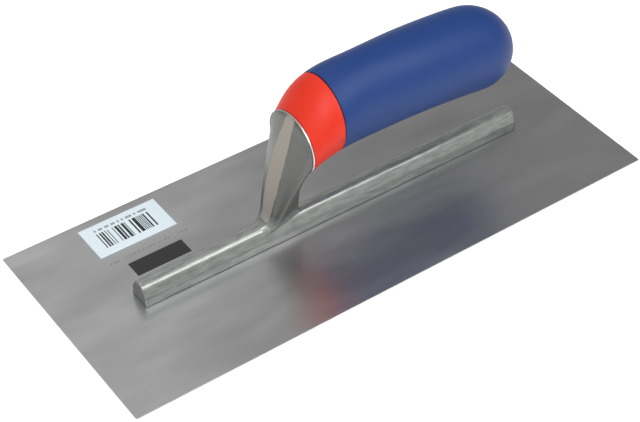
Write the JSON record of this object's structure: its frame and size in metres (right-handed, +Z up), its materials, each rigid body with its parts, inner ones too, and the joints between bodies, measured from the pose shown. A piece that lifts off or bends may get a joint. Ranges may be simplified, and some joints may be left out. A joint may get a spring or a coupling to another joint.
{
  "type": "finishing trowel",
  "caption": "Flat rectangular steel finishing trowel with a riveted cast spine and gooseneck shank and a soft-grip handle lying over the blade.",
  "frame": {"origin": "middle of the blade's underside, which is the face the tool rests on", "axes": "+X along the blade from toe to heel, the way the handle points; +Y across the blade to the side with the label; +Z up, from the blade to the handle"},
  "size_m": [0.28, 0.115, 0.0825],
  "materials": {
    "blade": "ground and lightly brushed spring steel",
    "rivets": "steel, heads ground flush with the blade",
    "casting": "cast aluminium, tumbled, with the shank's front strip ground flat",
    "core": "moulded black polypropylene",
    "collar": "soft orange-red thermoplastic elastomer",
    "grip": "soft deep blue thermoplastic elastomer",
    "bolt": "zinc-plated steel",
    "washer": "zinc-plated steel",
    "plug": "soft deep blue thermoplastic elastomer",
    "label": "white coated paper with plain printed bars"
  },
  "bodies": {
    "root": {"blade": "blade", "blade_rivets": "rivets", "mounting_casting": "casting", "handle_core": "core", "front_collar": "collar", "grip_sleeve": "grip", "handle_bolt": "bolt", "bolt_washer": "washer", "end_plug": "plug", "paper_label": "label"}
  },
  "joints": []
}
